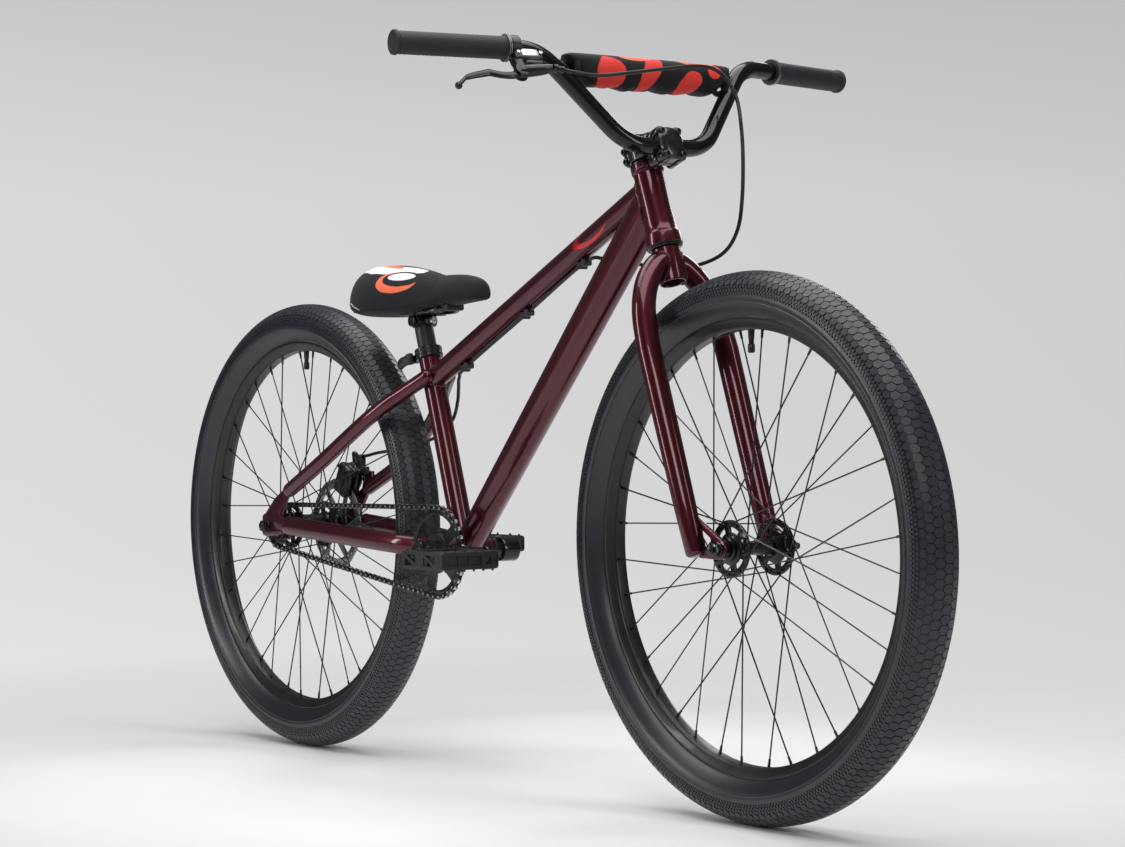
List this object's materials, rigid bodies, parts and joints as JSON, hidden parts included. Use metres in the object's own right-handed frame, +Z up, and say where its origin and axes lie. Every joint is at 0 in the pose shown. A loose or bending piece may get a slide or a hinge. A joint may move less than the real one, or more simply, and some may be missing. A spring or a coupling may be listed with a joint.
{
  "type": "bicycle",
  "caption": "Single-speed hardtail bicycle with rigid fork, crossbar handlebar, platform pedals, rear disc brake and padded saddle.",
  "frame": {"origin": "on the ground, midway between the two tyres' contact points and in the bicycle's middle plane", "axes": "+X forward, +Y to the rider's left, +Z up"},
  "size_m": [1.7372, 0.7318, 0.9796],
  "materials": {
    "burgundy_paint": "deep metallic burgundy under clear gloss",
    "gloss_black": "gloss black paint",
    "satin_black": "satin black anodising",
    "rubber": "matt",
    "tyre_rubber": "matt",
    "black_plastic": "fine matt texture",
    "black_fabric": "black cover cloth with printed plain shapes",
    "bright_steel": "bright"
  },
  "bodies": {
    "frame": {"head_tube": "burgundy_paint", "top_tube": "burgundy_paint", "down_tube": "burgundy_paint", "seat_tube": "burgundy_paint", "bottom_bracket_shell": "burgundy_paint", "chainstay_right": "burgundy_paint", "chainstay_left": "burgundy_paint", "seatstay_right": "burgundy_paint", "seatstay_left": "burgundy_paint", "dropout_right": "burgundy_paint", "dropout_left": "burgundy_paint", "headset_upper_bearing": "satin_black", "headset_lower_bearing": "satin_black", "bottom_bracket_bearings": "satin_black", "seat_clamp": "satin_black", "brake_cable": "rubber", "cable_guide_front": "black_plastic", "cable_guide_middle": "black_plastic", "cable_guide_rear": "black_plastic", "brake_caliper": "satin_black", "rear_axle": "bright_steel", "chain": "satin_black"},
    "seat_clamp_lever": {"seat_clamp_lever": "satin_black"},
    "saddle": {"seatpost": "satin_black", "saddle_rails": "bright_steel", "saddle_clamp": "satin_black", "saddle_base": "black_plastic", "saddle_cover": "black_fabric"},
    "steering": {"fork": "burgundy_paint", "stem": "gloss_black", "stem_faceplate": "gloss_black", "headset_top_cap": "gloss_black", "handlebar": "gloss_black", "crossbar_pad": "black_fabric", "grip_right": "rubber", "grip_left": "rubber", "lever_perch": "satin_black", "front_axle": "bright_steel"},
    "brake_lever": {"brake_lever": "satin_black"},
    "brake_arm": {"brake_arm": "satin_black"},
    "moving_brake_pad": {"moving_brake_pad": "bright_steel"},
    "front_wheel": {"front_tyre": "tyre_rubber", "front_rim": "gloss_black", "front_inner_tube": "rubber", "front_hub": "satin_black", "front_spokes_right": "satin_black", "front_spokes_left": "satin_black"},
    "rear_wheel": {"rear_tyre": "tyre_rubber", "rear_rim": "gloss_black", "rear_inner_tube": "rubber", "rear_hub": "satin_black", "rear_spokes_right": "satin_black", "rear_spokes_left": "satin_black", "brake_rotor": "bright_steel"},
    "freewheel_cog": {"freewheel_cog": "satin_black"},
    "crankset": {"crank_right": "satin_black", "crank_left": "satin_black", "chainring": "satin_black"},
    "pedal_right": {"pedal_right": "black_plastic"},
    "pedal_left": {"pedal_left": "black_plastic"}
  },
  "joints": [
    {"name": "steering_turn", "type": "hinge", "parent": "frame", "child": "steering", "pos_m": [0.341, 0, 0.775], "axis": [-0.3256, 0, 0.9455], "range_deg": [-90, 90], "deforming": ["brake_cable"]},
    {"name": "seatpost_slide", "type": "slide", "parent": "frame", "child": "saddle", "axis": [-0.309, 0, 0.9511], "range_m": [-0.02, 0.08]},
    {"name": "seat_clamp_lever_turn", "type": "hinge", "parent": "frame", "child": "seat_clamp_lever", "pos_m": [-0.20962, -0.0175, 0.58802], "axis": [-0.309, 0, 0.9511], "range_deg": [0, 100]},
    {"name": "brake_lever_pull", "type": "hinge", "parent": "steering", "child": "brake_lever", "pos_m": [0.337, -0.205, 0.93], "axis": [-0.7794, 0.1149, -0.6159], "range_deg": [0, 20], "stiffness_Nm_per_rad": 1.5},
    {"name": "brake_arm_turn", "type": "hinge", "parent": "frame", "child": "brake_arm", "pos_m": [-0.4936, 0.0697, 0.4086], "axis": [0, 1, 0], "range_deg": [0, 16.5]},
    {"name": "moving_pad_slide", "type": "slide", "parent": "frame", "child": "moving_brake_pad", "axis": [0, -1, 0], "range_m": [0, 0.00041]},
    {"name": "front_wheel_spin", "type": "hinge", "parent": "steering", "child": "front_wheel", "pos_m": [0.5286, 0, 0.34], "axis": [0, 1, 0], "continuous": true},
    {"name": "rear_wheel_spin", "type": "hinge", "parent": "frame", "child": "rear_wheel", "pos_m": [-0.5286, 0, 0.34], "axis": [0, 1, 0], "continuous": true},
    {"name": "crank_spin", "type": "hinge", "parent": "frame", "child": "crankset", "pos_m": [-0.09548, 0, 0.3144], "axis": [0, 1, 0], "continuous": true, "deforming": ["chain"]},
    {"name": "freewheel_spin", "type": "hinge", "parent": "frame", "child": "freewheel_cog", "pos_m": [-0.5286, 0, 0.34], "axis": [0, 1, 0], "continuous": true},
    {"name": "pedal_right_spin", "type": "hinge", "parent": "crankset", "child": "pedal_right", "pos_m": [0.07452, 0, 0.3144], "axis": [0, 1, 0], "continuous": true},
    {"name": "pedal_left_spin", "type": "hinge", "parent": "crankset", "child": "pedal_left", "pos_m": [-0.26548, 0, 0.3144], "axis": [0, 1, 0], "continuous": true}
  ],
  "couplings": [
    {"joint": "freewheel_spin", "follows": "crank_spin", "ratio": 1.9375},
    {"joint": "brake_arm_turn", "follows": "brake_lever_pull", "ratio": 0.8},
    {"joint": "moving_pad_slide", "follows": "brake_lever_pull", "m_per_rad": 0.001146}
  ]
}
